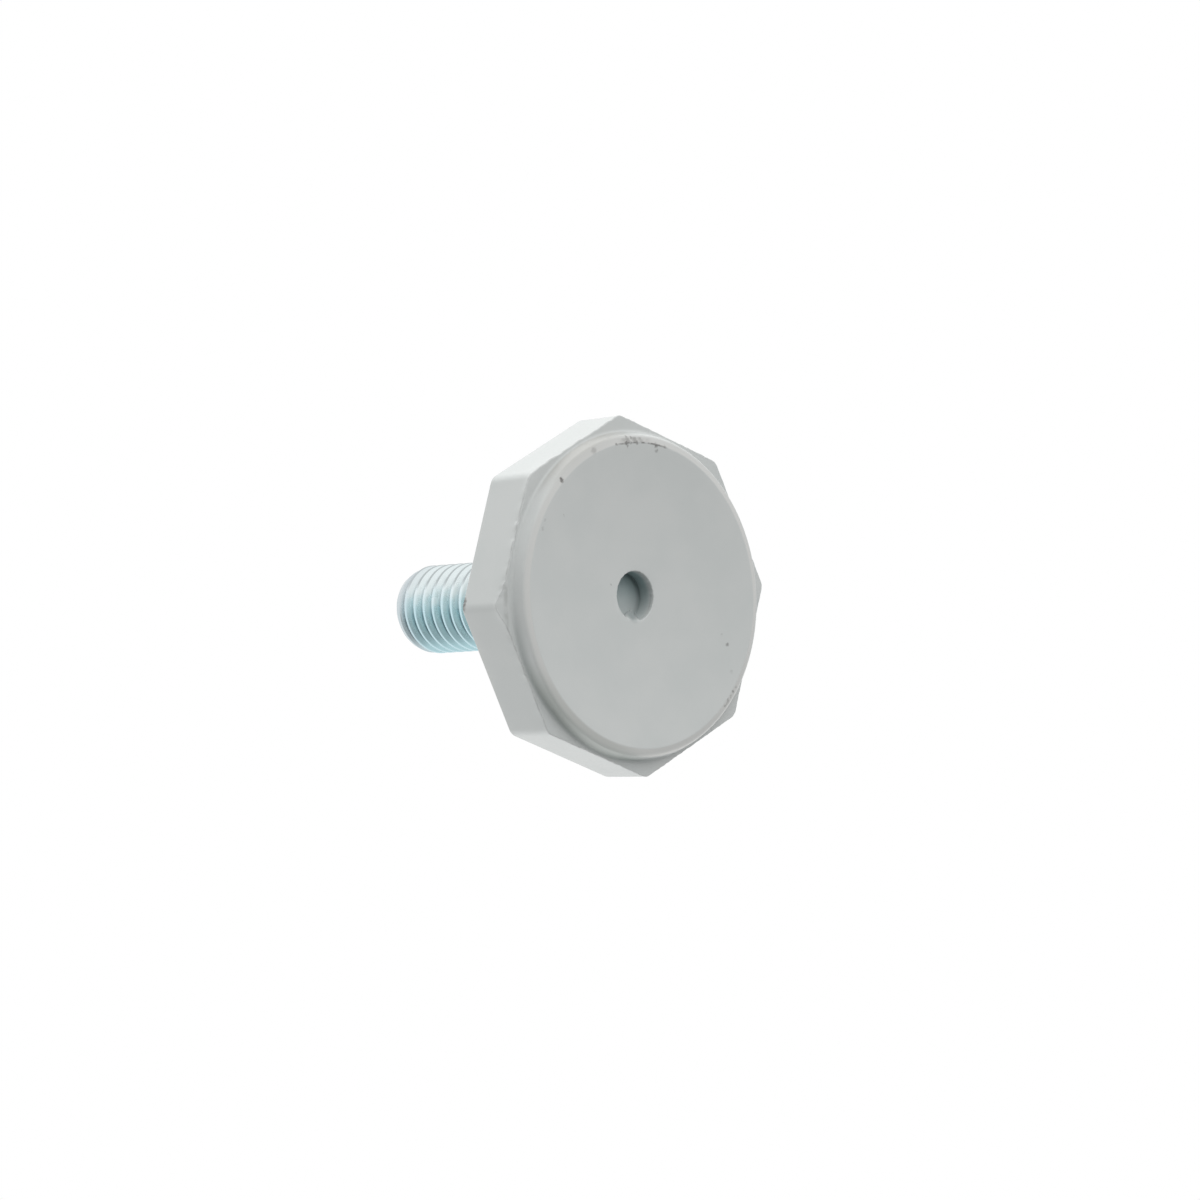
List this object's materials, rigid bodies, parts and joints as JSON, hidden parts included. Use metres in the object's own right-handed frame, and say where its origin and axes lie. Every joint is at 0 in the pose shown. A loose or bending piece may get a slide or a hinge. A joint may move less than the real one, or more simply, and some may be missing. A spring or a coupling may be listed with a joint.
{
  "type": "washing machine foot",
  "caption": "Levelling foot with a grey octagonal plastic head, a round dished pad as its sole, and a threaded steel stud that screws up into an appliance base.",
  "frame": {"origin": "centre of the sole, on the plane that the pad's rim stands on", "axes": "+Z along the stud, from the sole to the point; +X square to one of the head's spanner flats"},
  "size_m": [0.0364, 0.0364, 0.0354],
  "materials": {
    "grey_plastic": "moulded matte, light cool grey, scuffed at the pad's rim",
    "zinc_plated_steel": "bright zinc plate with a blue passivation tint"
  },
  "bodies": {
    "root": {"foot_head": "grey_plastic", "threaded_stud": "zinc_plated_steel"}
  },
  "joints": []
}
